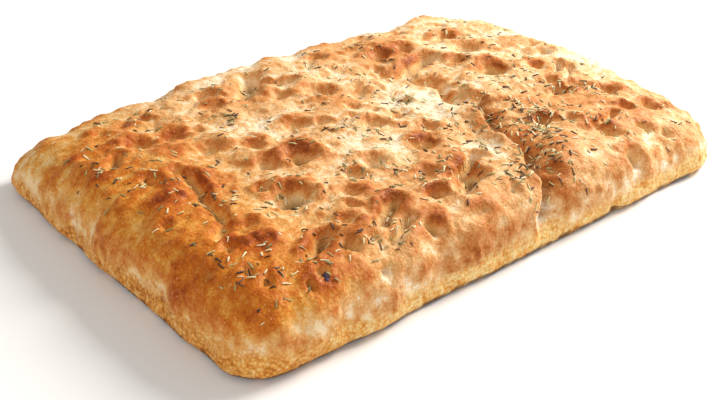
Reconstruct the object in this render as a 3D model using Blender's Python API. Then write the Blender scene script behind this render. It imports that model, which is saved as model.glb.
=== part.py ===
"""A rectangular rosemary focaccia: one baked slab, with rosemary needles fused to its crust.

The slab starts as a cube cut into a grid. The cube is bent to the loaf's rounded profile, and its
crust is pressed in where fingers went into the dough. A fold runs across the top and down the
front side. Dried rosemary needles are then joined to the crust.
"""

import math
import random

import bmesh
import bpy
import numpy as np
from mathutils import Matrix, Vector, noise

MM = 0.001
TINY = 1e-6

# Driving sizes of the slab, in metres
LENGTH = 0.400
WIDTH = 0.280
HEIGHT = 0.047
CORNER_RADIUS = 0.026
SHOULDER = 0.034  # how far in from the outline the rounding of the top reaches
SHOULDER_RADIUS = 0.016  # plan radius of the corners at the inner end of the shoulder
BOXINESS = 2.6  # 2 would make the shoulder an ellipse, and more makes it squarer
FOOT_IN = 0.004  # the base is this much smaller all round than the widest line
FOOT_RISE = 0.007  # height of the widest line
FOOT_SHARE = 0.2  # share of the side's rows that the foot takes

# The dough is no true rectangle: each corner lies off its place, and is lower than the middle
NEAR, RIGHT, FAR, LEFT = (-1, -1), (1, -1), (1, 1), (-1, 1)
CORNER_SHIFT = {
    NEAR: (0.002, -0.001),
    RIGHT: (-0.002, 0.003),
    FAR: (-0.001, -0.006),
    LEFT: (0.002, 0.005),
}
CORNER_DROP = {NEAR: 0.003, RIGHT: 0.020, FAR: 0.012, LEFT: 0.022}
CORNER_REACH = 4  # power that keeps a corner's drop near the corner
SIDE_BOW = {"front": 0.001, "right": 0.006, "back": 0.003, "left": 0.002}

# Rows of the grid: along the length, across the width and up the side
GRID = (132, 92, 12)
SLAB_FACES = 8200  # triangles that the slab keeps, most of them where it bends
FOOT_SNAP = 0.0004  # points this near the floor are put on it

# Soft puffs of the crust: spacing and height
PUFFS = ((0.055, 0.0026), (0.026, 0.0036))
# Larger swellings and sags near the edge, in millimetres: x, y, radius, rise
LUMPS = (
    (-164, 134, 15, -4), (-118, 128, 14, 3), (-86, 130, 14, -3), (88, 120, 16, 2), (150, 116, 18, 4),
    (184, 45, 18, -2), (187, -72, 20, -2), (84, -22, 15, 2), (76, -56, 12, 2), (62, -104, 13, 2),
)
UNEVEN_HOLES = (0.016, 0.0030)  # spacing and size of the waver in the holes' outlines

# Finger holes, in millimetres: x, y, radius, depth
FINGER_HOLES = (
    # Behind, from left to right
    (-173, 69, 6, 4), (-150, 96, 7, 6), (-131, 98, 7, 5), (-116, 97, 6, 5), (-67, 97, 10, 9),
    (-139, 65, 10, 10), (-117, 62, 12, 6), (-101, 57, 6, 3), (-73, 78, 8, 4), (-30, 62, 8, 7),
    (-10, 76, 8, 4), (-5, 52, 13, 10), (30, 99, 8, 5), (78, 107, 9, 5), (108, 102, 9, 5),
    (65, 74, 10, 7), (87, 73, 9, 7), (134, 72, 11, 7), (130, 48, 13, 10),
    # Across the middle
    (-159, 12, 8, 5), (-143, 11, 7, 5), (-107, 28, 10, 5), (-86, 12, 9, 8), (-47, 20, 9, 6),
    (-33, 10, 6, 5), (-5, 17, 9, 3), (-93, -12, 8, 7), (-72, -20, 12, 11), (-8, -13, 9, 8),
    (15, -7, 7, 4), (19, -34, 7, 7), (66, -10, 10, 5), (105, 31, 7, 6), (116, 6, 14, 12),
    (171, 24, 9, 5), (169, 3, 7, 4), (144, -9, 8, 5), (133, -35, 7, 5),
    # In front
    (-106, -54, 13, 12), (-113, -37, 6, 6), (-143, -65, 6, 4), (-163, -76, 8, 7), (-77, -73, 8, 7),
    (-98, -97, 6, 5), (-110, -115, 7, 7), (-60, -124, 7, 6), (-137, -123, 8, 4), (-60, -56, 8, 6),
    (-42, -52, 10, 7), (-2, -52, 11, 9), (-23, -82, 8, 6), (-38, -106, 8, 9), (81, -74, 8, 9),
    (96, -84, 7, 4), (126, -49, 8, 7), (141, -51, 9, 5), (156, -66, 8, 7), (166, -97, 7, 7),
    (144, -92, 6, 6), (45, -119, 9, 5), (108, -108, 9, 7), (137, -114, 7, 6), (153, -124, 7, 5),
    (108, -130, 10, 8),
)
# Longer dents that the fingers dragged, in millimetres: both ends, radius, depth
DRAGGED_HOLES = (
    (-138, 4, -150, -50, 6, 6), (-152, -56, -163, -66, 5, 4), (-134, -110, -114, -98, 6, 9),
    (-86, -109, -64, -97, 7, 8), (-88, -122, -70, -114, 6, 6), (-17, -96, 12, -82, 7, 8),
    (-26, -113, -4, -99, 7, 8), (-45, 80, -25, 105, 11, 8), (-25, 88, -12, 78, 7, 4),
    (-168, 43, -156, 57, 5, 7), (102, -101, 130, -94, 4, 4), (150, -26, 162, -16, 5, 5),
    (142, -40, 163, -26, 5, 4), (62, 42, 92, 50, 9, 7), (-42, -131, -22, -128, 5, 3),
)
HOLE_WALL = 0.60  # where the wall is steepest, as a share of the radius
PUSHED = np.array([-0.63, -0.77, 0.0])  # the fingers were pushed in slanting, this way
PUSH_SHARE = 0.35  # how far they went on under the crust, as a share of the radius
NARROW_SIDE, WIDE_SIDE = 1.4, 1.0  # the wall they were pushed against is nearer and steeper
NEAR_STEEPNESS, FAR_STEEPNESS = 3.0, 2.5  # powers: a higher one makes a steeper wall
RIM_AT, RIM_WIDTH, RIM_SHARE = 1.25, 0.5, 0.20  # the raised rim, as shares of radius and depth
OVERPRESS = 1.3  # the rims of its neighbours lift a hole's floor, so it is pressed this much deeper
DEEPEST = 0.018  # holes that run together stay less deep than this
UPWARD = 0.25  # crust that faces up at least this much can take a finger hole

# The fold, in millimetres: x, y and depth along its line, from the back to the front edge
FOLD = (
    (32, 47, 2), (50, 42, 6), (58, 31, 6), (57, 20, 6), (64, 8, 7), (62, 0, 7), (55, -10, 7),
    (53, -19, 7), (61, -27, 6), (70, -27, 6), (66, -33, 8), (59, -45, 10), (51, -59, 10),
    (44, -74, 11), (43, -90, 11), (43, -98, 11), (35, -108, 10), (27, -119, 11), (30, -128, 10),
    (22, -137, 8), (16, -141, 7), (15, -160, 7),
)
FOLD_STEEP = 0.0026  # width of the wall under the lip, on the side of the near left corner
FOLD_SLOPE = 0.0095  # width of the wall across from it
LIP_AT, LIP_WIDTH, LIP_RISE = 0.006, 0.005, 0.0026
FOLD_ENDS = (0.008, 0.020)  # the fold fades out between these heights of the front side
NOTCH_X, NOTCH_WIDTH, NOTCH_DEPTH = 0.086, 0.004, 0.003  # a nick in the front side
NOTCH_TOP = 0.024  # the nick ends at this height

# Rosemary needles
NEEDLES = 84
NEEDLE_LENGTHS = (0.0065, 0.0106)
NEEDLE_RADIUS = 0.00065
NEEDLE_TIP = 0.75  # radius of the thin end, as a share
NEEDLE_SIDES = 5
NEEDLE_RISE = 0.0002  # the needle's middle line lies this far out of the crust
NEEDLE_GAP = 0.013  # least space between needles
NEEDLE_UPWARD = 0.6  # crust that faces up at least this much holds needles

CRUST_COLOUR = (0.58, 0.27, 0.08, 1.0)
CRUST_ROUGHNESS = 0.6


def cut_along(bm, axis, pieces):
    """Cuts every edge that runs along one axis into equal pieces."""
    edges = [e for e in bm.edges if abs((e.verts[0].co - e.verts[1].co)[axis]) > TINY]
    bmesh.ops.subdivide_edges(bm, edges=edges, cuts=pieces - 1)


def cube_grid():
    """A cube from -1 to 1 whose sides and top are cut into rows, and whose base is one face."""
    bm = bmesh.new()
    bmesh.ops.create_cube(bm, size=2.0)
    for axis, pieces in enumerate(GRID):
        cut_along(bm, axis, pieces)
    base = [f for f in bm.faces if f.calc_center_median().z < TINY - 1]
    bmesh.ops.dissolve_faces(bm, faces=base)
    return bm


def rounded(u, v, half_length, half_width, radius):
    """Places on the rim of a square from -1 to 1, moved onto a rectangle with round corners."""
    x, y = u * half_length, v * half_width
    over_x = np.abs(x) - (half_length - radius)
    over_y = np.abs(y) - (half_width - radius)
    reach = np.maximum(np.hypot(over_x, over_y), TINY)
    pull = np.where((over_x > 0) & (over_y > 0), 1 - radius / reach, 0.0)
    return x - np.sign(x) * over_x * pull, y - np.sign(y) * over_y * pull


def side_profile(rise):
    """The side's distance in from the outline, and its foot's and swell's share of the height."""
    foot = np.clip(rise / FOOT_SHARE, 0, 1) * math.pi / 2
    swell = np.clip((rise - FOOT_SHARE) / (1 - FOOT_SHARE), 0, 1) * math.pi / 2
    power = 2 / BOXINESS
    inset = FOOT_IN * (1 - np.sin(foot)) + SHOULDER * (1 - np.abs(np.cos(swell)) ** power)
    return inset, 1 - np.cos(foot), np.sin(swell) ** power


def corner_weights(x, y):
    """How much each corner counts at a place, from 0 to 1."""
    u, v = np.clip(2 * x / LENGTH, -1, 1), np.clip(2 * y / WIDTH, -1, 1)
    return {c: (1 + c[0] * u) * (1 + c[1] * v) / 4 for c in CORNER_SHIFT}


def slab_shape(cube):
    """Moves the points of the cube onto the smooth slab."""
    u, v, w = cube.T
    ring = np.maximum(np.maximum(np.abs(u), np.abs(v)), TINY)
    inset, low, high = side_profile((w + 1) / 2)
    radius = CORNER_RADIUS + (SHOULDER_RADIUS - CORNER_RADIUS) * inset / SHOULDER
    half = (ring * (LENGTH / 2 - inset), ring * (WIDTH / 2 - inset))
    x, y = rounded(u / ring, v / ring, *half, ring * radius)
    weights = corner_weights(x, y)
    height = HEIGHT - sum(CORNER_DROP[c] * w**CORNER_REACH for c, w in weights.items())
    z = FOOT_RISE * low + (height - FOOT_RISE) * high
    moved_x = x + sum(CORNER_SHIFT[c][0] * w for c, w in weights.items())
    moved_y = y + sum(CORNER_SHIFT[c][1] * w for c, w in weights.items())
    bow_x, bow_y = 1 - (2 * y / WIDTH) ** 2, 1 - (2 * x / LENGTH) ** 2
    right, back = 0.5 + x / LENGTH, 0.5 + y / WIDTH
    moved_x += bow_x * (right * SIDE_BOW["right"] - (1 - right) * SIDE_BOW["left"])
    moved_y += bow_y * (back * SIDE_BOW["back"] - (1 - back) * SIDE_BOW["front"])
    return np.stack([moved_x, moved_y, z], axis=1)


def wave(points, spacing, seed):
    """Smooth noise from about -1 to 1 that changes over a given spacing."""
    start = Vector((seed, 2 * seed, 3 * seed))
    return np.array([noise.noise(Vector(p) / spacing + start) for p in points])


def line_distance(points, start, end):
    """Distance of points from the line between two places, and how far past it they are pushed."""
    along = end - start
    share = np.clip((points - start) @ along / max(along @ along, TINY**2), 0, 1)
    away = points - start - share[:, None] * along
    pushed = away @ PUSHED
    stretch = np.where(pushed > 0, NARROW_SIDE, WIDE_SIDE) - 1
    return np.linalg.norm(away + (stretch * pushed)[:, None] * PUSHED, axis=1), pushed


def holes(points, normals):
    """How far the finger holes press each point in. The dough rises a little behind each."""
    upper = points[normals[:, 2] > UPWARD]
    spacing, size = UNEVEN_HOLES
    wavered = points + size * np.stack([wave(points, spacing, seed) for seed in (11, 12, 13)], axis=1)
    lines = [(x, y, x, y, radius, depth) for x, y, radius, depth in FINGER_HOLES]
    press = np.zeros(len(points))
    for x1, y1, x2, y2, radius, depth in MM * np.array(lines + list(DRAGGED_HOLES)):
        ends = np.array([(x1, y1), (x2, y2)]) + PUSH_SHARE * radius * PUSHED[:2]
        start, end = (upper[np.argmin(np.hypot(*(upper[:, :2] - at).T))] for at in ends)
        distance, pushed = line_distance(wavered, start, end)
        share, nearness = distance / radius, np.clip(0.5 + 1.25 * pushed / radius, 0, 1)
        steepness = FAR_STEEPNESS + (NEAR_STEEPNESS - FAR_STEEPNESS) * nearness
        rim = RIM_SHARE * (1 - nearness) * np.exp(-(((share - RIM_AT) / RIM_WIDTH) ** 2))
        press += OVERPRESS * depth * (np.exp(-((share / HOLE_WALL) ** steepness)) - rim)
    return np.where(press > 0, DEEPEST * np.tanh(press / DEEPEST), press)


def fold(points):
    """How far the fold presses each point in, and its lip beside it lifts."""
    path = MM * np.array(FOLD)
    nearest = np.full(len(points), np.inf)
    side, depth = np.zeros(len(points)), np.zeros(len(points))
    for (x1, y1, depth1), (x2, y2, depth2) in zip(path, path[1:]):
        along_x, along_y = x2 - x1, y2 - y1
        from_x, from_y = points[:, 0] - x1, points[:, 1] - y1
        share = np.clip((from_x * along_x + from_y * along_y) / math.hypot(along_x, along_y) ** 2, 0, 1)
        distance = np.hypot(from_x - share * along_x, from_y - share * along_y)
        closer = distance < nearest
        nearest[closer] = distance[closer]
        side[closer] = np.sign(along_x * from_y - along_y * from_x)[closer]
        depth[closer] = (depth1 + (depth2 - depth1) * share)[closer]
    width = np.where(side > 0, FOLD_SLOPE, FOLD_STEEP)
    lip = LIP_RISE * np.exp(-(((nearest - LIP_AT) / LIP_WIDTH) ** 2)) * (side < 0)
    low, high = FOLD_ENDS
    fade = np.clip((points[:, 2] - low) / (high - low), 0, 1)
    deepest = MM * max(row[2] for row in FOLD)
    return fade * (depth * np.exp(-((nearest / width) ** 2)) - lip * depth / deepest)


def notch(points, normals):
    """How far the nick in the front side presses each point in."""
    facing_front = np.clip(-normals[:, 1], 0, 1) * np.clip(2 - 2 * points[:, 2] / NOTCH_TOP, 0, 1)
    return facing_front * NOTCH_DEPTH * np.exp(-(((points[:, 0] - NOTCH_X) / NOTCH_WIDTH) ** 2))


def puffs(points):
    """How far the crust swells out. The swelling fades out towards the flat base."""
    swell = sum(height * wave(points, spacing, seed) for seed, (spacing, height) in enumerate(PUFFS))
    for x, y, radius, rise in MM * np.array(LUMPS):
        distance = np.hypot(points[:, 0] - x, points[:, 1] - y)
        swell += rise * np.exp(-((distance / radius) ** 2))
    return swell * np.clip(points[:, 2] / FOOT_RISE, 0, 1)


def build_slab():
    """The slab as an object, with its holes and fold, thinned to the triangles that its form needs."""
    bm = cube_grid()
    smooth = slab_shape(np.array([v.co for v in bm.verts]))
    for vert, place in zip(bm.verts, smooth):
        vert.co = place
    bm.normal_update()
    normals = np.array([v.normal for v in bm.verts])
    pressed = holes(smooth, normals) + fold(smooth) + notch(smooth, normals) - puffs(smooth)
    in_air = smooth[:, 2] > TINY
    for vert, place in zip(bm.verts, smooth - normals * (pressed * in_air)[:, None]):
        vert.co = place
    slab = add_object("focaccia", bm)
    thin_out = slab.modifiers.new("Thin out", "DECIMATE")
    thin_out.ratio = SLAB_FACES / sum(len(p.vertices) - 2 for p in slab.data.polygons)
    apply_modifiers(slab)
    for vert in slab.data.vertices:
        if vert.co.z < FOOT_SNAP:
            vert.co.z = 0.0
    return slab


def add_object(name, bm):
    """Makes an object of a finished bmesh."""
    mesh = bpy.data.meshes.new(name)
    bm.to_mesh(mesh)
    bm.free()
    built = bpy.data.objects.new(name, mesh)
    bpy.context.scene.collection.objects.link(built)
    return built


def apply_modifiers(built):
    """Replaces an object's mesh with what its modifiers make of it."""
    depsgraph = bpy.context.evaluated_depsgraph_get()
    finished = bpy.data.meshes.new_from_object(built.evaluated_get(depsgraph))
    built.modifiers.clear()
    built.data = finished


def add_needle(name, place, normal, rng):
    """One dried needle that lies along the crust in a random direction."""
    bm = bmesh.new()
    bmesh.ops.create_cone(
        bm,
        cap_ends=True,
        segments=NEEDLE_SIDES,
        radius1=NEEDLE_RADIUS,
        radius2=NEEDLE_RADIUS * NEEDLE_TIP,
        depth=rng.uniform(*NEEDLE_LENGTHS),
    )
    lying = normal.cross(Vector((rng.uniform(-1, 1), rng.uniform(-1, 1), rng.uniform(-1, 1)))).normalized()
    turn = lying.to_track_quat("Z", "Y").to_matrix().to_4x4()
    bm.transform(Matrix.Translation(place + normal * NEEDLE_RISE) @ turn)
    return add_object(name, bm)


def scatter_needles(slab, rng):
    """Needles on random places of the crust, in a collection. They keep clear of each other."""
    needles = bpy.data.collections.new("needles")
    bpy.context.scene.collection.children.link(needles)
    crust = [v for v in slab.data.vertices if v.normal.z > NEEDLE_UPWARD]
    rng.shuffle(crust)
    taken = []
    for vert in crust:
        if len(taken) == NEEDLES:
            break
        if all((vert.co - place).length > NEEDLE_GAP for place in taken):
            taken.append(vert.co.copy())
            needle = add_needle(f"needle_{len(taken)}", vert.co, vert.normal, rng)
            bpy.context.scene.collection.objects.unlink(needle)
            needles.objects.link(needle)
    return needles


def fuse(slab, needles):
    """Joins every needle of a collection to the slab, then removes the collection."""
    union = slab.modifiers.new("Fuse needles", "BOOLEAN")
    union.operation = "UNION"
    union.operand_type = "COLLECTION"
    union.collection = needles
    union.solver = "EXACT"
    apply_modifiers(slab)
    for needle in list(needles.objects):
        bpy.data.objects.remove(needle)
    bpy.data.collections.remove(needles)


def centre(built):
    """Moves the mesh so that the middle of its box is over the origin, and its base is at z = 0."""
    points = np.array([v.co for v in built.data.vertices])
    low, high = points.min(axis=0), points.max(axis=0)
    middle = (low + high) / 2
    built.data.transform(Matrix.Translation((-middle[0], -middle[1], -low[2])))
    print("middle was at, in mm:", [round(side / MM, 2) for side in middle])


def crust_material():
    """Browned crust, matt and not metallic."""
    crust = bpy.data.materials.new("Browned crust")
    crust.use_nodes = True
    shader = crust.node_tree.nodes["Principled BSDF"]
    shader.inputs["Base Color"].default_value = CRUST_COLOUR
    shader.inputs["Roughness"].default_value = CRUST_ROUGHNESS
    shader.inputs["Metallic"].default_value = 0.0
    return crust


def main():
    for old in list(bpy.data.objects):
        bpy.data.objects.remove(old)
    rng = random.Random(5)
    slab = build_slab()
    fuse(slab, scatter_needles(slab, rng))
    centre(slab)
    slab.data.materials.clear()
    slab.data.materials.append(crust_material())
    print("size in mm:", [round(side / MM, 1) for side in slab.dimensions])


main()
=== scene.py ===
# %% [markdown]
# # A rosemary focaccia
# This lesson makes the looks of one baked slab: a golden crust with finger holes, a fold where
# the dough was turned over, and dried rosemary scattered over it. It starts by loading the
# plain solid of the slab, whose box tells each new piece how large it may be.

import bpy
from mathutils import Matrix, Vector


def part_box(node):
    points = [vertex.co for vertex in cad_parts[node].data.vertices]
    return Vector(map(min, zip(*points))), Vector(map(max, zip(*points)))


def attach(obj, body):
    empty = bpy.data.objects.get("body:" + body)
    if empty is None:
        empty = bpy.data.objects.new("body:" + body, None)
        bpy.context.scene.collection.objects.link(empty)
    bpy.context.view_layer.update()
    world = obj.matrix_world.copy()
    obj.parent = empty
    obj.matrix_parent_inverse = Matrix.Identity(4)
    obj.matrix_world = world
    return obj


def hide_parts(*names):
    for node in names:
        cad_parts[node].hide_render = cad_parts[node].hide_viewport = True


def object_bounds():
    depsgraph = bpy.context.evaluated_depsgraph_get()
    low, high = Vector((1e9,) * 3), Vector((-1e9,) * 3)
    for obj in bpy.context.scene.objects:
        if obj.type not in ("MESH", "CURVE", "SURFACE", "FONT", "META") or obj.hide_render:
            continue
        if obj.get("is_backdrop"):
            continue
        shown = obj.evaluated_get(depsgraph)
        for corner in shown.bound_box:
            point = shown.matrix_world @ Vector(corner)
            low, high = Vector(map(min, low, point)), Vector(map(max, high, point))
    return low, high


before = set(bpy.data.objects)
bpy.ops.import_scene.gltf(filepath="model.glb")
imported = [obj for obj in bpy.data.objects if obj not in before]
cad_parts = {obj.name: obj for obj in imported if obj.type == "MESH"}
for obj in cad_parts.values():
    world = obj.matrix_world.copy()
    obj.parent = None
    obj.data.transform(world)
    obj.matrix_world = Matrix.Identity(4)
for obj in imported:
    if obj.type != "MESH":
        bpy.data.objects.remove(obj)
solid_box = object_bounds()
print("corners of the solid's box, in metres:", [list(corner) for corner in solid_box])

# %% [markdown]
# ## Tools
# Blender's bmesh builds the shapes, and numpy moves many points at once. Sizes are in metres,
# as Blender has them, and tables are in millimetres, as a baker's ruler has them.

# %% Import the modules
import math
import random

import bmesh
import bpy
import numpy as np
from mathutils import Matrix, Vector, noise
from mathutils.bvhtree import BVHTree

MM = 0.001
TINY = 1e-6


def wave(points, spacing, seed):
    """Smooth noise from about -1 to 1 that changes over a given spacing."""
    start = Vector((seed, 2 * seed, 3 * seed))
    return np.array([noise.noise(Vector(p) / spacing + start) for p in points])


def ease(low, high, values):
    """0 below low, 1 above high, and a smooth change between them."""
    share = np.clip((values - low) / (high - low), 0, 1)
    return share * share * (3 - 2 * share)


# %% [markdown]
# ## The dough as a block
# A slab of dough is a box with soft sides. A cube is cut into rows, which are finest on top, and
# its points are then moved to the slab's rounded form. Cutting a cube keeps the whole skin in
# one closed mesh, so the crust has no seam. The flat underside stays one face.

# %% Cut a cube into rows
ROWS = (300, 210, 26)  # along the length, across the width and up the side


def cut_along(bm, axis, pieces):
    """Cuts every edge that runs along one axis into equal pieces."""
    edges = [e for e in bm.edges if abs((e.verts[0].co - e.verts[1].co)[axis]) > TINY]
    bmesh.ops.subdivide_edges(bm, edges=edges, cuts=pieces - 1)


dough = bmesh.new()
bmesh.ops.create_cube(dough, size=2.0)
for axis, pieces in enumerate(ROWS):
    cut_along(dough, axis, pieces)
underside = [f for f in dough.faces if f.calc_center_median().z < TINY - 1]
bmesh.ops.dissolve_faces(dough, faces=underside)
print("faces on the cut cube:", len(dough.faces))

# %% [markdown]
# ## The slab's form
# The outline is a rectangle with round corners. The side stands on a short curved foot and
# swells up to a broad shoulder, whose curve is a superellipse: boxier than a round one. Dough is
# never square, so each corner is moved a little and sinks below the middle.

# %% Bend the block to the slab
LENGTH, WIDTH, HEIGHT = 0.400, 0.280, 0.047
CORNER_RADIUS = 0.026
SHOULDER = 0.034  # how far in from the outline the rounding of the top reaches
SHOULDER_RADIUS = 0.016  # plan radius of the corners at the inner end of the shoulder
BOXINESS = 2.6
FOOT_IN, FOOT_RISE, FOOT_SHARE = 0.004, 0.007, 0.2

NEAR, RIGHT, FAR, LEFT = (-1, -1), (1, -1), (1, 1), (-1, 1)
CORNER_SHIFT = {  # each corner's move in plan
    NEAR: (0.002, -0.001),
    RIGHT: (-0.002, 0.003),
    FAR: (-0.001, -0.006),
    LEFT: (0.002, 0.005),
}
CORNER_DROP = {NEAR: 0.003, RIGHT: 0.020, FAR: 0.012, LEFT: 0.022}
CORNER_REACH = 4  # the higher, the nearer to its corner a drop stays
# How far each side bows out in its middle
SIDE_BOW = {"front": 0.001, "right": 0.006, "back": 0.003, "left": 0.002}


def rounded(u, v, half_length, half_width, radius):
    """Places on the rim of a square from -1 to 1, moved onto a rectangle with round corners."""
    x, y = u * half_length, v * half_width
    over_x = np.abs(x) - (half_length - radius)
    over_y = np.abs(y) - (half_width - radius)
    reach = np.maximum(np.hypot(over_x, over_y), TINY)
    pull = np.where((over_x > 0) & (over_y > 0), 1 - radius / reach, 0.0)
    return x - np.sign(x) * over_x * pull, y - np.sign(y) * over_y * pull


def side_profile(rise):
    """The side's distance in from the outline, and its foot's and swell's share of the height."""
    foot = np.clip(rise / FOOT_SHARE, 0, 1) * math.pi / 2
    swell = np.clip((rise - FOOT_SHARE) / (1 - FOOT_SHARE), 0, 1) * math.pi / 2
    power = 2 / BOXINESS
    inset = FOOT_IN * (1 - np.sin(foot)) + SHOULDER * (1 - np.abs(np.cos(swell)) ** power)
    return inset, 1 - np.cos(foot), np.sin(swell) ** power


def corner_weights(x, y):
    """How much each corner counts at a place, from 0 to 1."""
    u, v = np.clip(2 * x / LENGTH, -1, 1), np.clip(2 * y / WIDTH, -1, 1)
    return {corner: (1 + corner[0] * u) * (1 + corner[1] * v) / 4 for corner in CORNER_SHIFT}


def slab_shape(cube):
    """Moves the points of the cube onto the smooth slab."""
    u, v, w = cube.T
    ring = np.maximum(np.maximum(np.abs(u), np.abs(v)), TINY)
    inset, low, high = side_profile((w + 1) / 2)
    radius = CORNER_RADIUS + (SHOULDER_RADIUS - CORNER_RADIUS) * inset / SHOULDER
    half = (ring * (LENGTH / 2 - inset), ring * (WIDTH / 2 - inset))
    x, y = rounded(u / ring, v / ring, *half, ring * radius)
    weights = corner_weights(x, y).items()
    height = HEIGHT - sum(CORNER_DROP[corner] * share**CORNER_REACH for corner, share in weights)
    z = FOOT_RISE * low + (height - FOOT_RISE) * high
    moved_x = x + sum(CORNER_SHIFT[corner][0] * share for corner, share in weights)
    moved_y = y + sum(CORNER_SHIFT[corner][1] * share for corner, share in weights)
    bow_x, bow_y = 1 - (2 * y / WIDTH) ** 2, 1 - (2 * x / LENGTH) ** 2
    right, back = 0.5 + x / LENGTH, 0.5 + y / WIDTH
    moved_x += bow_x * (right * SIDE_BOW["right"] - (1 - right) * SIDE_BOW["left"])
    moved_y += bow_y * (back * SIDE_BOW["back"] - (1 - back) * SIDE_BOW["front"])
    return np.stack([moved_x, moved_y, z], axis=1)


smooth = slab_shape(np.array([v.co for v in dough.verts]))
for vert, at in zip(dough.verts, smooth):
    vert.co = at
dough.normal_update()
normals = np.array([v.normal for v in dough.verts])
print("smooth slab, in mm:", np.ptp(smooth, axis=0).round(3) / MM)

# %% [markdown]
# ## Finger holes
# The baker dimples the dough with spread fingers before it bakes. Each hole is a dent that
# presses the crust in along its own direction, with a soft rim. The fingers were pushed in
# slanting, so the wall in front of them is nearer and steeper, and the rim is behind them. The
# outlines waver, because dough springs back unevenly. The table gives each hole by its place.

# %% Press the finger holes
# In millimetres: x, y, radius, depth
FINGER_HOLES = (
    # Behind, from left to right
    (-173, 69, 6, 4), (-150, 96, 7, 6), (-131, 98, 7, 5), (-116, 97, 6, 5), (-67, 97, 10, 9),
    (-139, 65, 10, 10), (-117, 62, 12, 6), (-101, 57, 6, 3), (-73, 78, 8, 4), (-30, 62, 8, 7),
    (-10, 76, 8, 4), (-5, 52, 13, 10), (30, 99, 8, 5), (78, 107, 9, 5), (108, 102, 9, 5),
    (65, 74, 10, 7), (87, 73, 9, 7), (134, 72, 11, 7), (130, 48, 13, 10),
    # Across the middle
    (-159, 12, 8, 5), (-143, 11, 7, 5), (-107, 28, 10, 5), (-86, 12, 9, 8), (-47, 20, 9, 6),
    (-33, 10, 6, 5), (-5, 17, 9, 3), (-93, -12, 8, 7), (-72, -20, 12, 11), (-8, -13, 9, 8),
    (15, -7, 7, 4), (19, -34, 7, 7), (66, -10, 10, 5), (105, 31, 7, 6), (116, 6, 14, 12),
    (171, 24, 9, 5), (169, 3, 7, 4), (144, -9, 8, 5), (133, -35, 7, 5),
    # In front
    (-106, -54, 13, 12), (-113, -37, 6, 6), (-143, -65, 6, 4), (-163, -76, 8, 7), (-77, -73, 8, 7),
    (-98, -97, 6, 5), (-110, -115, 7, 7), (-60, -124, 7, 6), (-137, -123, 8, 4), (-60, -56, 8, 6),
    (-42, -52, 10, 7), (-2, -52, 11, 9), (-23, -82, 8, 6), (-38, -106, 8, 9), (81, -74, 8, 9),
    (96, -84, 7, 4), (126, -49, 8, 7), (141, -51, 9, 5), (156, -66, 8, 7), (166, -97, 7, 7),
    (144, -92, 6, 6), (45, -119, 9, 5), (108, -108, 9, 7), (137, -114, 7, 6), (153, -124, 7, 5),
    (108, -130, 10, 8),
)
# Longer dents that the fingers dragged, in millimetres: both ends, radius, depth
DRAGGED_HOLES = (
    (-138, 4, -150, -50, 6, 6), (-152, -56, -163, -66, 5, 4), (-134, -110, -114, -98, 6, 9),
    (-86, -109, -64, -97, 7, 8), (-88, -122, -70, -114, 6, 6), (-17, -96, 12, -82, 7, 8),
    (-26, -113, -4, -99, 7, 8), (-45, 80, -25, 105, 11, 8), (-25, 88, -12, 78, 7, 4),
    (-168, 43, -156, 57, 5, 7), (102, -101, 130, -94, 4, 4), (150, -26, 162, -16, 5, 5),
    (142, -40, 163, -26, 5, 4), (62, 42, 92, 50, 9, 7), (-42, -131, -22, -128, 5, 3),
)
# Small dents between them, in millimetres: x, y, radius, depth
SMALL_DENTS = (
    (-90, -87, 5, 5), (-102, -134, 6, 3), (-185, -89, 5, 5), (-178, -35, 5, 4), (-169, -104, 5, 5),
    (-166, -115, 5, 6), (-150, -128, 4, 4),
    (-38, -8, 4, 4), (30, 0, 4, 5), (5, 3, 4, 3), (-15, 3, 5, 3), (5, -125, 5, 4), (178, -98, 5, 4),
    (137, 7, 4, 4), (145, 95, 5, 3), (50, 58, 5, 3), (15, 35, 8, 2), (68, 22, 9, 3),
)
HOLE_WALL = 0.60  # where the wall is steepest, as a share of the radius
PUSHED = np.array([-0.63, -0.77, 0.0])  # the fingers were pushed in slanting, this way
PUSH_SHARE = 0.35  # how far they went on under the crust, as a share of the radius
NARROW_SIDE, WIDE_SIDE = 1.4, 1.0  # the wall they were pushed against is nearer and steeper
NEAR_STEEPNESS, FAR_STEEPNESS = 3.0, 2.5
WALL_BLEND = 0.4  # one wall turns into the other over this share of the radius on each side
RIM_AT, RIM_WIDTH, RIM_SHARE = 1.25, 0.5, 0.20
OVERPRESS = 1.3  # the rims of its neighbours lift a hole's floor, so it is pressed this much deeper
DEEPEST = 0.018  # holes that overlap press no deeper than this
UPWARD = 0.25  # crust that faces up at least this much can take a finger hole
WAVERS = ((0.016, 0.0030), (0.006, 0.0012))  # spacing and size of the waver in the outlines


def line_distance(points, start, end):
    """Distance of points from the line between two places, and how far past it they are pushed."""
    along = end - start
    share = np.clip((points - start) @ along / max(along @ along, TINY**2), 0, 1)
    away = points - start - share[:, None] * along
    pushed = away @ PUSHED
    stretch = np.where(pushed > 0, NARROW_SIDE, WIDE_SIDE) - 1
    return np.linalg.norm(away + (stretch * pushed)[:, None] * PUSHED, axis=1), pushed


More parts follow.
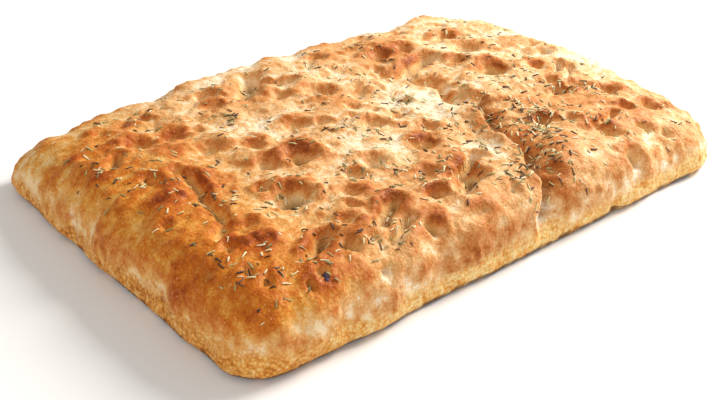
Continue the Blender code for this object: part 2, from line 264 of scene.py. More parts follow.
def holes(points, normals):
    """How far the finger holes press each point in. The rims of the holes rise a little."""
    upper = points[normals[:, 2] > UPWARD]
    wavered = points.copy()
    for spacing, size in WAVERS:
        wavered += size * np.stack([wave(points, spacing, seed) for seed in (11, 12, 13)], axis=1)
    round_dents = FINGER_HOLES + SMALL_DENTS
    lines = [(x, y, x, y, radius, depth) for x, y, radius, depth in round_dents]
    press = np.zeros(len(points))
    for x1, y1, x2, y2, radius, depth in MM * np.array(lines + list(DRAGGED_HOLES)):
        ends = np.array([(x1, y1), (x2, y2)]) + PUSH_SHARE * radius * PUSHED[:2]
        start, end = (upper[np.argmin(np.hypot(*(upper[:, :2] - at).T))] for at in ends)
        distance, pushed = line_distance(wavered, start, end)
        share, nearness = distance / radius, ease(-WALL_BLEND, WALL_BLEND, pushed / radius)
        steepness = FAR_STEEPNESS + (NEAR_STEEPNESS - FAR_STEEPNESS) * nearness
        rim = RIM_SHARE * (1 - nearness) * np.exp(-(((share - RIM_AT) / RIM_WIDTH) ** 2))
        press += OVERPRESS * depth * (np.exp(-((share / HOLE_WALL) ** steepness)) - rim)
    return np.where(press > 0, DEEPEST * np.tanh(press / DEEPEST), press)


hole_press = holes(smooth, normals)
print("deepest hole, in mm:", round(hole_press.max() / MM, 1))

# %% [markdown]
# ## The fold
# Half of the dough was laid over the other half. Its edge makes a step that runs from the back
# to the front: steep and lipped on the laid half, sloping on the other. The fold is a dent
# along a bent line, with a different width on each side of it.

# %% Press the fold and the nick in the front side
# In millimetres: x, y and depth along the fold's line, from the back to the front edge
FOLD = (
    (32, 47, 2), (50, 42, 6), (58, 31, 6), (57, 20, 6), (64, 8, 7), (62, 0, 7), (55, -10, 7),
    (53, -19, 7), (61, -27, 6), (70, -27, 6), (66, -33, 8), (59, -45, 10), (51, -59, 10),
    (44, -74, 11), (43, -90, 11), (43, -98, 11), (35, -108, 10), (27, -119, 11), (30, -128, 10),
    (22, -137, 8), (16, -141, 7), (15, -160, 7),
)
FOLD_STEEP, FOLD_SLOPE = 0.0026, 0.0095  # half the dent's width on the laid half and beside it
LIP_AT, LIP_WIDTH, LIP_RISE = 0.006, 0.005, 0.0026
FOLD_ENDS = (0.008, 0.020)  # on the sides it fades out between these heights
NOTCH_X, NOTCH_WIDTH, NOTCH_DEPTH = 0.086, 0.004, 0.003
NOTCH_TOP = 0.024


def fold(points):
    """How far the fold presses each point in, and its lip beside it lifts."""
    path = MM * np.array(FOLD)
    nearest = np.full(len(points), np.inf)
    side, depth = np.zeros(len(points)), np.zeros(len(points))
    for (x1, y1, depth1), (x2, y2, depth2) in zip(path, path[1:]):
        along_x, along_y = x2 - x1, y2 - y1
        from_x, from_y = points[:, 0] - x1, points[:, 1] - y1
        along_line = (from_x * along_x + from_y * along_y) / math.hypot(along_x, along_y) ** 2
        share = np.clip(along_line, 0, 1)
        distance = np.hypot(from_x - share * along_x, from_y - share * along_y)
        closer = distance < nearest
        nearest[closer] = distance[closer]
        side[closer] = np.sign(along_x * from_y - along_y * from_x)[closer]
        depth[closer] = (depth1 + (depth2 - depth1) * share)[closer]
    width = np.where(side > 0, FOLD_SLOPE, FOLD_STEEP)
    lip = LIP_RISE * np.exp(-(((nearest - LIP_AT) / LIP_WIDTH) ** 2)) * (side < 0)
    low, high = FOLD_ENDS
    fade = np.clip((points[:, 2] - low) / (high - low), 0, 1)
    deepest = MM * max(row[2] for row in FOLD)
    return fade * (depth * np.exp(-((nearest / width) ** 2)) - lip * depth / deepest)


def notch(points, normals):
    """How far the nick in the front side presses each point in."""
    facing_front = np.clip(-normals[:, 1], 0, 1) * ease(NOTCH_TOP, NOTCH_TOP / 2, points[:, 2])
    return facing_front * NOTCH_DEPTH * np.exp(-(((points[:, 0] - NOTCH_X) / NOTCH_WIDTH) ** 2))


fold_press = fold(smooth) + notch(smooth, normals)
print("deepest part of the fold, in mm:", round(fold_press.max() / MM, 1))

# %% [markdown]
# ## Puffs, blisters and wrinkles
# Steam lifts the crust between the holes in soft puffs, and blisters of a few millimetres sit on
# them. The finest unevenness, under a millimetre, is left to the material, because a mesh fine
# enough for it would be far too heavy.

# %% Raise the puffs and blisters
PUFFS = ((0.055, 0.0026), (0.026, 0.0036))
# The bumps that the oven browned most, in millimetres: x, y, radius, and how brown from 0 to 1
BROWNED = (
    # Behind, from left to right
    (-196, 80, 11, 0.8), (-177, 77, 9, 0.7), (-159, 71, 8, 0.7), (-134, 94, 8, 0.6),
    (-111, 66, 10, 0.6), (-73, 79, 9, 0.6), (80, 50, 9, 0.8), (104, 30, 9, 0.8),
    (143, 72, 9, 0.6), (168, 39, 8, 0.5),
    # Across the middle
    (-179, 37, 9, 0.9), (-130, 39, 13, 0.8), (-155, 0, 7, 0.7), (-164, -15, 12, 0.9),
    (-128, -10, 13, 0.8), (-140, -16, 7, 0.9), (-79, 18, 9, 0.9), (-65, -5, 12, 1.0),
    (-43, 26, 9, 0.7), (-25, -37, 9, 0.8), (2, -41, 8, 1.0), (63, 1, 8, 0.7), (118, 7, 10, 1.0),
    (147, -4, 8, 1.0), (138, -26, 6, 0.7),
    # In front
    (-191, -75, 14, 0.7), (-152, -86, 11, 1.0), (-94, -48, 12, 0.9), (-121, -116, 8, 0.6),
    (-98, -109, 9, 0.9), (-68, -76, 9, 0.8), (-73, -61, 7, 0.6), (-66, -86, 8, 0.7),
    (-65, -102, 8, 0.7), (-144, -130, 9, 0.9), (-119, -130, 8, 0.6), (-54, -121, 9, 0.8),
    (-71, -125, 8, 0.8), (-40, -102, 8, 0.8), (1, -88, 9, 0.8), (-25, -130, 11, 0.6),
    (-3, -50, 8, 1.0), (66, -42, 9, 1.0), (64, -78, 7, 0.7), (83, -73, 7, 0.8),
    (40, -125, 11, 1.0), (104, -93, 8, 0.6), (112, -103, 8, 0.8), (144, -98, 12, 0.4),
    (162, -69, 8, 0.6),
)
BROWNED_RISE = 0.0012
BROWNED_SPACING = 0.009  # of the waver in their outlines
COLOUR_WAVER, RISE_WAVER = 0.004, 0.002  # its size in the colour and in the relief
# In millimetres: x, y, radius, rise
LUMPS = (
    (-164, 134, 15, -4), (-118, 128, 14, 3), (-86, 130, 14, -3), (88, 120, 16, 2), (150, 116, 18, 4),
    (184, 45, 18, -2), (187, -72, 20, -2), (84, -22, 15, 2), (76, -56, 12, 2), (62, -104, 13, 2),
)
RIPPLES = ((0.013, 0.0016), (0.0065, 0.0010), (0.0036, 0.0007))  # the crust's fine unevenness
BLISTERS = 420
BLISTER_RADII = (1.4, 4.0)
BLISTER_RISE = 0.24  # height as a share of the radius


def puffs(points):
    """How far the crust swells out. The swelling fades out towards the flat base."""
    swell = sum(rise * wave(points, spacing, seed) for seed, (spacing, rise) in enumerate(PUFFS))
    for x, y, radius, rise in MM * np.array(LUMPS):
        distance = np.hypot(points[:, 0] - x, points[:, 1] - y)
        swell += rise * np.exp(-((distance / radius) ** 2))
    return swell * np.clip(points[:, 2] / FOOT_RISE, 0, 1)


def blisters(points, rng):
    """How far small steam blisters lift the crust."""
    rise = np.zeros(len(points))
    above_foot = np.flatnonzero(points[:, 2] > FOOT_RISE)
    for place in rng.sample(list(above_foot), BLISTERS):
        radius = MM * rng.uniform(*BLISTER_RADII)
        near = np.flatnonzero(np.abs(points - points[place]).max(axis=1) < 2 * radius)
        distance = np.linalg.norm(points[near] - points[place], axis=1)
        blister = BLISTER_RISE * radius * np.exp(-((distance / radius) ** 2))
        rise[near] = np.maximum(rise[near], blister)
    return rise


def browned_bumps(points, waver):
    """How much each point is on a browned bump, from 0 to 1. The bumps' outlines waver."""
    waves = [wave(points, BROWNED_SPACING, seed) for seed in (51, 52, 53)]
    wavered = points + waver * np.stack(waves, axis=1)
    share = np.zeros(len(points))
    for x, y, radius, brown in BROWNED:
        distance = np.hypot(wavered[:, 0] - MM * x, wavered[:, 1] - MM * y)
        share = np.maximum(share, brown * np.exp(-((distance / (MM * radius)) ** 4)))
    return share


rng = random.Random(21)
brown_bumps = browned_bumps(smooth, COLOUR_WAVER)
swell = puffs(smooth) + BROWNED_RISE * browned_bumps(smooth, RISE_WAVER)
ripple = sum(
    height * wave(smooth, spacing, seed) for seed, (spacing, height) in enumerate(RIPPLES, start=30)
)
fine = (ripple + blisters(smooth, rng)) * np.clip(smooth[:, 2] / FOOT_RISE, 0, 1)
lift = swell + fine - hole_press - fold_press
lift[smooth[:, 2] < TINY] = 0.0
crust_points = smooth + normals * lift[:, None]
print("highest puff, in mm:", round(swell.max() / MM, 1))

# %% [markdown]
# ## Where the oven browns the crust, and where shade is painted
# Raised places catch the oven's heat and brown first. Hollows hold oil and steam and stay pale.
# A blurred copy of the relief is taken away from the relief itself, which leaves a plus on
# bumps and a minus in hollows. Some rows below paint shade and light instead: walls turned away
# from the lamp, the deepest hollows and the near left are darker, and walls turned to it paler.
# The values are kept on the mesh's points for the material.

# %% Measure bumps and hollows
NEAR_BLUR, FAR_BLUR = 18, 140  # rounds of averaging: bumps of a few mm, and of a few cm


def blurred(values, links, rounds):
    """Evens out a value on points by averaging each with its neighbours, over and over."""
    a, b = links.T
    count = np.bincount(links.ravel(), minlength=len(values))
    for _ in range(rounds):
        total = np.bincount(a, values[b], len(values)) + np.bincount(b, values[a], len(values))
        values = (values + total / count) / 2
    return values


links = np.array([[v.index for v in e.verts] for e in dough.edges])
small_bumps = (lift - blurred(lift, links, NEAR_BLUR)) / MM
large_bumps = (lift - blurred(lift, links, FAR_BLUR)) / MM
print("bumps and hollows, in mm:", large_bumps.min().round(1), "to", large_bumps.max().round(1))

# %% Find the walls that face away from the lamp, for painted shade and painted light
SHADE_SIDE = np.array([-0.63, -0.77, 0.0])  # walls turned this way, away from the lamp, get painted shade
WALL_BLUR = 3  # rounds of averaging

crust_form = dough.copy()
for vert, at in zip(crust_form.verts, crust_points):
    vert.co = at
crust_form.normal_update()
shade_facing = (np.array([v.normal for v in crust_form.verts]) - normals) @ SHADE_SIDE
shade_facing = blurred(shade_facing, links, WALL_BLUR)
crust_form.free()
print("walls turned to the heat by up to", shade_facing.max().round(2))

# %% Work out the browning
PLAIN_BAKE = 0.29  # how brown plain crust is, from 0 for pale to 1 for brown
# The next values count from their first number on, and in full from their second one
WALL_TURN = (0.08, 0.5)
OILY_HOLE, OPEN_FOLD, SHADED_HOLE, SHADED_FOLD = (2.5, 6), (1.5, 6), (5, 11), (4.5, 8)  # depths in mm; the last two give where painted shade in the holes and the fold starts and is full

heat_x, heat_y = smooth[:, 0] / LENGTH, smooth[:, 1] / WIDTH  # from -0.5 to 0.5
heat_and_shade = 0.25 + 0.75 * ease(-0.15, -0.45, heat_x) - 0.1 * heat_y  # hotter on the left, and painted shade there, away from the lamp
patches = wave(smooth, 0.035, seed=41) + 0.8 * wave(smooth, 0.013, seed=42)
hollow = ease(*OILY_HOLE, hole_press / MM)
in_fold = ease(*OPEN_FOLD, fold_press / MM)
# Painted shade: the deepest parts of the holes and the fold are made darker
crease_shade = np.maximum(ease(*SHADED_HOLE, hole_press / MM), ease(*SHADED_FOLD, fold_press / MM))
# Each row: how much browner it makes the crust, and where
causes = (
    (0.26, heat_and_shade - 0.5),
    (0.12, patches),
    (0.10, in_fold),
    (0.30, brown_bumps),
    (0.24, ease(*WALL_TURN, shade_facing) * (1 - hollow)),  # painted shade: browner on walls that face away from the lamp
    (-0.26, ease(*WALL_TURN, -shade_facing)),  # painted light: paler on walls that face the lamp
    (0.10, np.tanh(large_bumps / 2)),
    (0.08, np.tanh(small_bumps / 0.5)),
    (0.12, ease(-0.35, -0.1, heat_x) * ease(0.0, -0.25, heat_y)),  # the front edge was hot too
)
bake = PLAIN_BAKE + sum(weight * where for weight, where in causes)
print("causes of browning:", len(causes))

# %% [markdown]
# ## Browner and paler parts
# No oven heats evenly, so some parts of the top come out browner or paler than the rules above
# make them, and some pale spots are painted highlight where the light falls brightest. Each
# part in the table is a soft round spot in plan, a few centimetres across, which adds to the
# browning or takes from it.

# %% Brown some parts of the top more than others
# In millimetres: x, y, radius, and how much more or less brown
PATCHES = (
    (47, -14, 22, -0.45), (104, 48, 22, -0.15), (22, -84, 18, -0.28), (-24, -47, 20, -0.32),
    (22, 7, 18, -0.08), (186, -19, 25, -0.35), (-85, -75, 18, -0.10), (-106, -58, 18, -0.10),
    (-208, 103, 30, -0.30), (-150, 110, 25, -0.10), (-152, -144, 13, -0.28), (-120, -144, 14, -0.08),
    (97, -54, 20, 0.10), (122, -75, 20, 0.12), (49, 93, 22, 0.22), (-3, 27, 18, 0.24),
    (-63, -93, 16, 0.22), (-140, -100, 22, 0.16), (-175, -10, 20, 0.10), (-53, 68, 24, 0.20),
    (-70, -9, 16, 0.38), (77, 71, 20, 0.34), (-5, -55, 14, 0.16),
)

for x, y, radius, more in PATCHES:
    distance = np.hypot(smooth[:, 0] - MM * x, smooth[:, 1] - MM * y)
    bake += more * np.exp(-((distance / (MM * radius)) ** 2))
print("patches on the top:", len(PATCHES))

# %% [markdown]
# ## The sides
# The sides stay paler than the top, because the tray's rim keeps the oven's heat off them. The
# band that touches the hot metal browns unevenly, and its lowest edge burns in places. Height
# and the way that the crust faces tell these bands apart, and noise makes their edges waver.

# %% Tell the sides from the top
EDGE_WAVERS = ((0.022, 4.5), (0.008, 3.5))  # spacing in metres, and size in mm
PALE_TOP, LOWER_ON_LEFT = 34, 10  # in mm: where the pale side ends, and how much lower on the left
PALE_FADE = (-7, 3)  # in mm past that end: from where the paleness fades to where it is gone
TRAY_FADE, SCORCH_FADE = (10, 20), (2.2, 4.6)  # the same in mm of height, for what the tray did
CORNER_SQUEEZE = 2.2  # the browned near corner reaches this much less far along the length
SQUARELY = (0.3, 0.9)  # from where crust starts to face the front or the left, to fully
LEVEL = (0.25, 0.6)  # how much crust faces up, from all side to all top

height_mm = smooth[:, 2] / MM
edge_waver = sum(
    size * wave(smooth, spacing, seed) for seed, (spacing, size) in enumerate(EDGE_WAVERS, start=43)
)
pale_top = PALE_TOP - LOWER_ON_LEFT * ease(-0.55, -0.9, normals[:, 0])
fade_from, fade_to = (pale_top + past for past in PALE_FADE)
steep = 1 - ease(*LEVEL, normals[:, 2])
on_front, on_left = ease(*SQUARELY, -normals[:, 1]), ease(*SQUARELY, -normals[:, 0])
flank = steep * (1 - ease(fade_from, fade_to, height_mm + 1.4 * edge_waver))
corner_x, corner_y = smooth[:, 0] + LENGTH / 2, smooth[:, 1] + WIDTH / 2
near_corner = ease(0.100, 0.035, np.hypot(CORNER_SQUEEZE * corner_x, corner_y))
near_corner *= ease(12, 26, height_mm + edge_waver)
flank *= 1 - 0.6 * near_corner
near_corner *= 1 - 0.7 * on_front
along_front = on_front * ease(-0.34, -0.22, heat_x) * ease(0.06, -0.02, heat_x)
bake += 0.10 * near_corner + (0.20 * along_front - 0.04 - 0.20 * on_left) * flank
bake += flank * (0.35 * wave(smooth, 0.012, seed=46) + 0.30 * wave(smooth, 0.005, seed=47))
heat_and_shade -= steep * (0.45 * on_front + 0.25 * on_left)  # the sides are paler than the top
tray_band = steep * (1 - ease(*TRAY_FADE, height_mm + edge_waver))  # browned by the tray's rim
scorch = ease(0.3, 0.9, wave(smooth, 0.007, seed=45) + 0.8) * (1 - ease(*SCORCH_FADE, height_mm))
print("points on the sides:", int((steep > 0.5).sum()))

# %% Mark dry and burnt spots
# In millimetres: x, y, z, radius. Dry white blisters on the left side, and three burnt spots
WHITE_SPOTS = ((-199, 41, 19, 1.6), (-199, 45, 23, 1.4), (-199, 38, 13, 1.6), (-196, 106, 37, 4))
BURNT_SPOTS = ((-194, -139, 28, 3), (-197, -137, 31, 3), (-199, 38, 9, 2))


def near_spots(points, spots):
    """How much each point lies in one of the spots, from 0 to 1."""
    share = np.zeros(len(points))
    for x, y, z, radius in MM * np.array(spots):
        distance = np.linalg.norm(points - (x, y, z), axis=1)
        share = np.maximum(share, np.exp(-((distance / radius) ** 2)))
    return share


scorch = np.maximum(scorch, near_spots(smooth, BURNT_SPOTS))
white = near_spots(smooth, WHITE_SPOTS)
bake, heat_and_shade = np.clip(bake, 0, 1), np.clip(heat_and_shade, 0, 1)
print("mean browning:", bake.mean().round(2))

# %% [markdown]
# ## The crust as an object
# The points now move to their last places, and the mesh gets its values for the material. The
# middle of the crust's box is put over the middle of the solid's, since both have one form. Its
# finer relief makes it a little larger, so it is shrunk to fit.

# %% Make the crust
def add_object(name, bm, material):
    """Makes an object of a finished bmesh, shaded smooth, which rides on the slab's body."""
    mesh = bpy.data.meshes.new(name)
    bm.to_mesh(mesh)
    bm.free()
    mesh.shade_smooth()
    mesh.materials.append(material)
    piece = bpy.data.objects.new(name, mesh)
    bpy.context.scene.collection.objects.link(piece)
    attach(piece, "root")
    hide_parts("focaccia")
    return piece


# Kept free at each side of the solid's box. In height all of it is on top, for the needles
CLEARANCE = np.array([0.0001, 0.0001, 0.0004])

box_low, box_high = (np.array(corner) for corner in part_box("focaccia"))
crust_low, crust_high = crust_points.min(axis=0), crust_points.max(axis=0)
room = (box_high - box_low - 2 * CLEARANCE) / (crust_high - crust_low)
shrink = np.minimum(room, 1)
shift = (box_low + box_high - shrink * (crust_low + crust_high)) / 2
shift[2] = box_low[2] - shrink[2] * crust_low[2]
crust_points = crust_points * shrink + shift
for vert, at in zip(dough.verts, crust_points):
    vert.co = at
crust_material = bpy.data.materials.new("Baked bread crust, oiled")
crust = add_object("crust", dough, crust_material)
point_values = {
    "bake": bake,
    "heat_and_shade": heat_and_shade,
    "hollow": hollow,
    "crease_shade": crease_shade,
    "tray_band": tray_band,
    "scorch": scorch,
    "white": white,
}
for name, values in point_values.items():
    crust.data.attributes.new(name, "FLOAT", "POINT").data.foreach_set("value", values)
print("crust, in mm:", np.ptp(crust_points, axis=0).round(4) / MM, "shrunk to", shrink.round(4))

# %% [markdown]
# ## Baked crust
# Bread crust is starch and protein browned by heat: cream where it stayed damp, gold, orange
# and at last brown. It isn't metallic, and a brush of olive oil gives it a dull, soft shine. A
# colour ramp turns the browning into colour, and noise of a few millimetres breaks it up.

# %% Helpers for materials
def linear(hex_colour):
    """The linear colour of an sRGB hex value, with full alpha."""
    parts = [int(hex_colour[i : i + 2], 16) / 255 for i in (1, 3, 5)]
    return [c / 12.92 if c <= 0.04045 else ((c + 0.055) / 1.055) ** 2.4 for c in parts] + [1.0]


def add_node(material, kind, inputs=None, stops=None, **settings):
    """Adds a shader node. Inputs are values or sockets to link, and stops are a ramp's colours."""
    node = material.node_tree.nodes.new(kind)
    for name, value in settings.items():
        setattr(node, name, value)
    for name, value in (inputs or {}).items():
        if isinstance(value, bpy.types.NodeSocket):
            material.node_tree.links.new(value, node.inputs[name])
        else:
            node.inputs[name].default_value = value
    for number, (position, hex_colour) in enumerate(stops or ()):
        ramp = node.color_ramp.elements
        stop = ramp[number] if number < 2 else ramp.new(position)
        stop.position, stop.color = position, linear(hex_colour)
    return node


# %% Read the browning and make the patterns
MOTTLE_SPACING, GRAIN_SPACING = 0.0065, 0.0016  # of browning that comes in patches, and in grains
BUBBLE_SPACING = 0.0023  # dough pressed on the tray sets in tiny bubbles
SPECK_SPACING = 0.0025  # pale specks, painted glints on tiny blisters

crust_material.use_nodes = True
place = add_node(crust_material, "ShaderNodeTexCoord").outputs["Object"]
on_crust = {
    name: add_node(crust_material, "ShaderNodeAttribute", attribute_name=name).outputs["Fac"]
    for name in point_values
}
mottle, grain = (
    add_node(
        crust_material, "ShaderNodeTexNoise", {"Vector": place, "Scale": 1 / spacing, "Detail": 3.0}
    ).outputs["Fac"]
    for spacing in (MOTTLE_SPACING, GRAIN_SPACING)
)
bubbles, specks = (
    add_node(
        crust_material, "ShaderNodeTexVoronoi", {"Vector": place, "Scale": 1 / spacing}
    ).outputs["Distance"]
    for spacing in (BUBBLE_SPACING, SPECK_SPACING)
)
print("values on the crust:", ", ".join(on_crust))

# %% Turn browning into colour
# Two copies of the crust's colours: darker, more orange ones for the near left, which are partly
# browning and partly painted shade away from the lamp, and paler, lit ones for the far right
SHADED_NEAR_LEFT_STOPS = (
    (0.0, "#EAC484"), (0.25, "#DA983E"), (0.5, "#C56E18"), (0.75, "#AC5008"), (1.0, "#803202"),
)
LIT_FAR_RIGHT_STOPS = (
    (0.0, "#F7E6CB"), (0.25, "#E6B984"), (0.5, "#D19256"), (0.75, "#BA6C2E"), (1.0, "#904814"),
)
TRAY_STOPS = ((0.0, "#FADC98"), (0.35, "#EEB462"), (0.65, "#DC9038"), (1.0, "#A85C18"))

# How strongly each pattern breaks up the browning, on the crust and where the tray touched it
pattern_weights = ((mottle, 0.7, 2.6), (grain, 0.6, 2.0), (bubbles, 0.0, 1.5))
PATTERN_MIDDLE = 0.5
TRAY_LEAST, TRAY_MOST = -0.5, 1.7  # range of the tray's browning

browning = on_crust["bake"]
tray_browning = on_crust["heat_and_shade"]
for pattern, crust_weight, tray_weight in pattern_weights:
    centred = add_node(
        crust_material, "ShaderNodeMath", {0: pattern, 1: PATTERN_MIDDLE}, operation="SUBTRACT"
    ).outputs[0]
    browning, tray_browning = (
        add_node(
            crust_material,
            "ShaderNodeMath",
            {0: centred, 1: weight, 2: so_far},
            operation="MULTIPLY_ADD",
        ).outputs[0]
        for so_far, weight in ((browning, crust_weight), (tray_browning, tray_weight))
    )
tray_browning = add_node(
    crust_material,
    "ShaderNodeMapRange",
    {"Value": tray_browning, "From Min": TRAY_LEAST, "From Max": TRAY_MOST},
).outputs["Result"]
shaded_near_left, lit_far_right, tray = (
    add_node(crust_material, "ShaderNodeValToRGB", {"Fac": amount}, stops=stops).outputs["Color"]
    for amount, stops in ((browning, SHADED_NEAR_LEFT_STOPS), (browning, LIT_FAR_RIGHT_STOPS), (tray_browning, TRAY_STOPS))
)
print("crust colours:", len(SHADED_NEAR_LEFT_STOPS) + len(LIT_FAR_RIGHT_STOPS) + len(TRAY_STOPS), "stops")

# %% Scatter pale specks, painted glints on tiny blisters
SPECK_FULL, SPECK_END = 0.27, 0.42  # distance from its middle where a speck fades, in spacings
SPECK_WAVER = 0.5  # how much the grain changes that distance

uneven_glint_specks = add_node(
    crust_material, "ShaderNodeMath", {0: grain, 1: SPECK_WAVER, 2: specks}, operation="MULTIPLY_ADD"
).outputs[0]
glint_speck_share = add_node(
    crust_material,
    "ShaderNodeMapRange",
    {
        "Value": uneven_glint_specks,
        "From Min": SPECK_FULL,
        "From Max": SPECK_END,
        "To Min": 1.0,
        "To Max": 0.0,
    },
).outputs["Result"]
print("a speck every", SPECK_SPACING / MM, "mm")

# %% Lay the colours over each other
# Each row is a layer: where it shows, how much of it at most, and its colour
layers = (
    # painted shade, partly browning: the darker colours towards the near left, away from the lamp
    (on_crust["heat_and_shade"], 1.0, shaded_near_left),
    (on_crust["hollow"], 0.60, linear("#DEB26C")),
    (on_crust["tray_band"], 1.0, tray),
    # painted glints: pale specks on the crust
    (glint_speck_share, 0.4, linear("#FFE2B4")),
    (on_crust["white"], 0.7, linear("#FAEEDC")),
    # painted shade in the deepest hollows
    (on_crust["crease_shade"], 0.60, linear("#74441A")),
    (on_crust["scorch"], 0.9, linear("#5A2C0E")),
)
colour = lit_far_right
for share, most, layer_colour in layers:
    amount = add_node(
        crust_material, "ShaderNodeMath", {0: share, 1: most}, operation="MULTIPLY"
    ).outputs[0]
    colour = add_node(
        crust_material, "ShaderNodeMix", {0: amount, 6: colour, 7: layer_colour}, data_type="RGBA"
    ).outputs[2]
print("colour layers:", len(layers))

# %% [markdown]
# ## The crust's fine surface
# Under a lens the crust is a skin of tiny bubbles, wrinkles and grains, and the bubbles are
# largest where the side was pressed against the tray. Each bump node tilts the light over one
# of these patterns, with heights in real metres. Oil has soaked into some patches more than
# into others, so the shine changes with the mottling.

# %% Roughen the crust
WRINKLE_SPACING = 0.0036
BUBBLE_HEIGHT, WRINKLE_HEIGHT, GRAIN_HEIGHT = 0.0016, 0.0012, 0.0009
RELIEF = 0.8  # strength of each bump
OILED, DRY = 0.38, 0.65  # roughness
NOISE_LOW, NOISE_HIGH = 0.3, 0.7  # most of the mottling lies between these
CRUST_IOR, SHINE = 1.4, 0.22  # porous crust reflects less than a solid

wrinkles = add_node(
    crust_material,
    "ShaderNodeTexNoise",
    {"Vector": place, "Scale": 1 / WRINKLE_SPACING, "Detail": 2.0},
).outputs["Fac"]
pressed_bubbles = add_node(
    crust_material, "ShaderNodeMath", {0: bubbles, 1: on_crust["tray_band"]}, operation="MULTIPLY"
).outputs[0]
skin = add_node(crust_material, "ShaderNodeNewGeometry").outputs["Normal"]
for pattern, height, turned_in in (
    (pressed_bubbles, BUBBLE_HEIGHT, True),
    (wrinkles, WRINKLE_HEIGHT, False),
    (grain, GRAIN_HEIGHT, False),
):
    skin = add_node(
        crust_material,
        "ShaderNodeBump",
        {"Height": pattern, "Distance": height, "Strength": RELIEF, "Normal": skin},
        invert=turned_in,
    ).outputs["Normal"]
gloss = add_node(
    crust_material,
    "ShaderNodeMapRange",
    {
        "Value": mottle,
        "From Min": NOISE_LOW,
        "From Max": NOISE_HIGH,
        "To Min": OILED,
        "To Max": DRY,
    },
).outputs["Result"]
shader = crust_material.node_tree.nodes["Principled BSDF"]
for socket, value in (("Base Color", colour), ("Normal", skin), ("Roughness", gloss)):
    crust_material.node_tree.links.new(value, shader.inputs[socket])
shader.inputs["IOR"].default_value = CRUST_IOR
shader.inputs["Specular IOR Level"].default_value = SHINE
print("wrinkles every", WRINKLE_SPACING / MM, "mm")

# %% [markdown]
# ## Dried rosemary
# The needles are the leaves of dried rosemary: thin, stiff and a little bent, broken to lengths
# of 2 to 5 mm. Each is a slim tapered cone, which is cut into four along its length, so that its
# middle can bend, and pressed flat. It lies where the crust holds up both of its ends.
# Straw-coloured, dark and green needles are one piece each.

# %% Shape a needle
NEEDLE_FLATNESS = 0.65
NEEDLE_BEND = 0.10  # rise of the middle as a share of the length
NEEDLE_SIDES, NEEDLE_PIECES = 6, 4
THICK_END, THIN_END = 0.5, 0.3  # radius of each end as a share of the width

needle_form = bmesh.new()
bmesh.ops.create_cone(
    needle_form, cap_ends=True, segments=NEEDLE_SIDES, radius1=THICK_END, radius2=THIN_END, depth=1
)
cut_along(needle_form, 2, NEEDLE_PIECES)
for vert in needle_form.verts:
    vert.co.x = vert.co.x * NEEDLE_FLATNESS
needle_form.verts.layers.float.new("tint")
needle_mesh = bpy.data.meshes.new("needle")
needle_form.to_mesh(needle_mesh)
print("faces on a needle:", len(needle_form.faces))
needle_form.free()

# %% Lay a needle
NEEDLE_LENGTHS = (0.0020, 0.0052)
NEEDLE_WIDTHS = (0.0009, 0.0015)
SUNK = 0.0002  # how deep the oil has stuck them to the crust
STEEPEST = 0.010  # most that the ends' heights may differ
BENDS = (-0.5, 1)  # shares of the bend, which is mostly upwards
FEELERS = (-1, -0.5, 0, 0.5, 1)  # places along a needle where the crust below is felt
SKY, DOWN = 0.2, Vector((0, 0, -1))  # a height above all pieces

skin_faces = [face.vertices[:] for face in crust.data.polygons]
skin_tree = BVHTree.FromPolygons([tuple(at) for at in crust_points], skin_faces)


def crust_below(x, y):
    """The point of the crust under a place, or None beyond the edge."""
    return skin_tree.ray_cast(Vector((x, y, SKY)), DOWN)[0]


def lay_needle(bm, x, y, rng):
    """Adds one needle that lies on the crust at a place, in a random direction."""
    length, width = rng.uniform(*NEEDLE_LENGTHS), rng.uniform(*NEEDLE_WIDTHS)
    heading = rng.uniform(0, 2 * math.pi)
    reach = Vector((math.cos(heading), math.sin(heading), 0)) * length / 2
    below = [crust_below(x + step * reach.x, y + step * reach.y) for step in FEELERS]
    if None in below or abs(below[0].z - below[-1].z) > STEEPEST:
        return False
    start, end = below[0], below[-1]
    lifted = max(at.z - start.lerp(end, (1 + step) / 2).z for step, at in zip(FEELERS, below))
    along = (end - start).normalized()
    sideways = along.cross(Vector((0, 0, 1))).normalized()
    up = sideways.cross(along)
    turn = Matrix((up, sideways, along)).transposed()
    middle = start.lerp(end, 0.5) + up * (lifted + width * NEEDLE_FLATNESS / 2 - SUNK)
    bend, tint = NEEDLE_BEND * length * rng.uniform(*BENDS), rng.random()
    first = len(bm.verts)
    bm.from_mesh(needle_mesh)
    bm.verts.ensure_lookup_table()
    for vert in bm.verts[first:]:
        upwards, across, along_it = vert.co
        rise = bend * (1 - 4 * along_it * along_it)
        vert.co = middle + turn @ Vector((upwards * width + rise, across * width, along_it * length))
        vert[bm.verts.layers.float["tint"]] = tint
    return True


# %% Scatter the needles
# In millimetres: x, y, spread, number
NEEDLE_CLUSTERS = (
    (-145, -25, 14, 16), (-168, -100, 7, 6), (-165, -113, 4, 5), (-108, -75, 9, 10),
    (-126, -106, 10, 9), (-86, -118, 8, 12), (-100, -122, 5, 8), (-137, -124, 6, 8),
    (-32, -87, 8, 16), (-25, -28, 8, 8),
    (-38, -8, 6, 6), (-62, -60, 8, 9), (-45, -75, 9, 6), (14, -122, 8, 26), (66, -82, 9, 26),
    (78, -80, 6, 12), (52, -103, 10, 22), (44, -124, 9, 14), (50, -60, 8, 14), (104, -104, 9, 12),
    (125, -48, 6, 10), (146, -64, 6, 12), (103, -9, 7, 9), (30, 0, 4, 9), (-76, 54, 6, 10),
    (-124, 97, 9, 8), (-178, 44, 6, 10), (-166, 14, 9, 14), (-100, -40, 8, 6), (15, -100, 18, 26),
    (56, -46, 6, 18), (82, -64, 9, 30), (60, -95, 12, 36), (110, -45, 30, 60), (20, -50, 35, 60),
)
CLUSTER_SHARE = 1.4  # needles laid for each one counted
SCATTERED = 560
